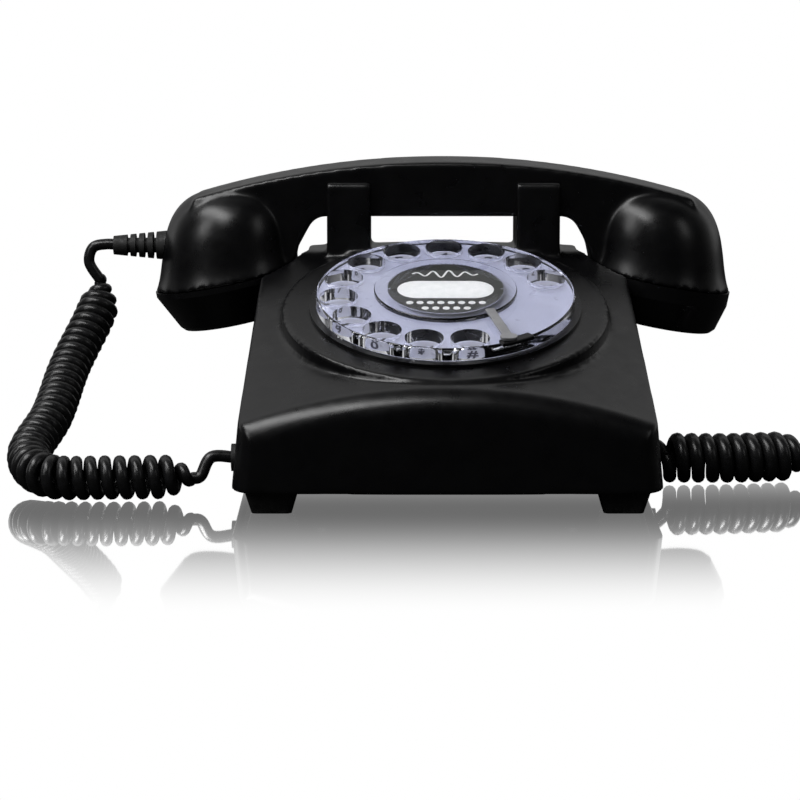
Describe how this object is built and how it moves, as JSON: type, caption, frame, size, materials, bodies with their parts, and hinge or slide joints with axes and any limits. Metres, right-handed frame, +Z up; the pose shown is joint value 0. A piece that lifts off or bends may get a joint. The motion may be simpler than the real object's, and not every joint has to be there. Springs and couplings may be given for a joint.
{
  "type": "desk telephone",
  "caption": "Desk telephone with a sloped housing, clear rotary dial wheel, two cradle yokes, lift-off handset, coiled handset cord and coiled line cord.",
  "frame": {"origin": "on the table under the middle of the housing; the two cords end equally far left and right", "axes": "+Z up, front with the dial faces -Y, X runs along the handset"},
  "size_m": [0.3167, 0.17, 0.1116],
  "materials": {
    "bell_steel": "nickel plated steel",
    "board_green": "coated board",
    "brass_cut": "machined brass",
    "card_print": "printed card",
    "clear_acrylic": "clear polished acrylic",
    "copper_winding": "enamelled copper winding",
    "cord_black": "glossy PVC cord jacket",
    "foot_rubber": "matt moulded rubber",
    "gloss_black": "polished moulded ABS",
    "part_dark": "moulded component bodies",
    "plate_lavender": "satin printed plate",
    "white_nylon": "moulded nylon",
    "zinc_steel": "zinc plated steel"
  },
  "bodies": {
    "base": {"base_plate": "part_dark", "base_screws": "zinc_steel", "board_components": "part_dark", "circuit_board": "board_green", "cord_grommet": "foot_rubber", "dial_bezel": "gloss_black", "dial_bush": "brass_cut", "dial_frame": "zinc_steel", "dial_return_spring": "zinc_steel", "dial_screws": "zinc_steel", "finger_stop": "bell_steel", "gear_bridge": "zinc_steel", "gong_left": "bell_steel", "gong_right": "bell_steel", "gong_screws": "zinc_steel", "governor_drum": "brass_cut", "handset_cord": "cord_black", "hook_bracket": "zinc_steel", "hook_springs": "zinc_steel", "hook_switch": "part_dark", "housing": "gloss_black", "line_cord": "cord_black", "line_grommet": "foot_rubber", "line_plug": "clear_acrylic", "number_plate": "plate_lavender", "pulse_contacts": "white_nylon", "ringer_coils": "copper_winding", "ringer_frame": "zinc_steel", "rubber_feet": "foot_rubber"},
    "dial": {"finger_wheel": "clear_acrylic", "dial_card": "card_print", "card_window": "clear_acrylic", "dial_shaft": "zinc_steel", "wheel_nut": "zinc_steel", "main_gear": "white_nylon"},
    "pulse": {"pulse_pinion": "white_nylon", "pulse_shaft": "zinc_steel", "pulse_cam": "white_nylon", "governor": "brass_cut"},
    "plungers": {"hook_plungers": "gloss_black", "hook_bar": "white_nylon"},
    "lever": {"hook_lever": "white_nylon"},
    "clapper": {"clapper_arm": "zinc_steel", "clapper_ball": "brass_cut"},
    "volume": {"volume_slider": "white_nylon"},
    "handset": {"handset_body": "gloss_black", "mouthpiece_cap": "gloss_black", "earpiece_cap": "gloss_black", "microphone_capsule": "zinc_steel", "receiver_capsule": "zinc_steel", "handset_weight": "zinc_steel", "handset_wires": "copper_winding", "strain_relief": "foot_rubber"}
  },
  "joints": [
    {"name": "handset_lift", "type": "slide", "parent": "base", "child": "handset", "axis": [0, 0, 1], "range_m": [0, 0.1], "deforming": ["handset_cord"]},
    {"name": "dial_turn", "type": "hinge", "parent": "base", "child": "dial", "pos_m": [0, -0.02, 0.0636], "axis": [0, 0.2924, -0.9563], "range_deg": [0, 326]},
    {"name": "pulse_spin", "type": "hinge", "parent": "base", "child": "pulse", "pos_m": [-0.02537, -0.02883, 0.0609], "axis": [0, 0.2924, -0.9563], "range_deg": [-980, 0]},
    {"name": "hook_plunger_travel", "type": "slide", "parent": "base", "child": "plungers", "axis": [0, 0, 1], "range_m": [0, 0.004], "deforming": ["hook_springs"]},
    {"name": "hook_lever_rock", "type": "hinge", "parent": "base", "child": "lever", "pos_m": [0, 0.054, 0.062], "axis": [1, 0, 0], "range_deg": [-20, 0]},
    {"name": "clapper_swing", "type": "hinge", "parent": "base", "child": "clapper", "pos_m": [0, 0.018, 0.0195], "axis": [0, 0, 1], "range_deg": [-5, 5]},
    {"name": "ringer_volume_slide", "type": "slide", "parent": "base", "child": "volume", "axis": [1, 0, 0], "range_m": [0, 0.004]}
  ],
  "couplings": [
    {"joint": "pulse_spin", "follows": "dial_turn", "ratio": -3},
    {"joint": "hook_plunger_travel", "follows": "handset_lift", "ratio": 0.04},
    {"joint": "hook_lever_rock", "follows": "handset_lift", "rad_per_m": -3.49}
  ]
}
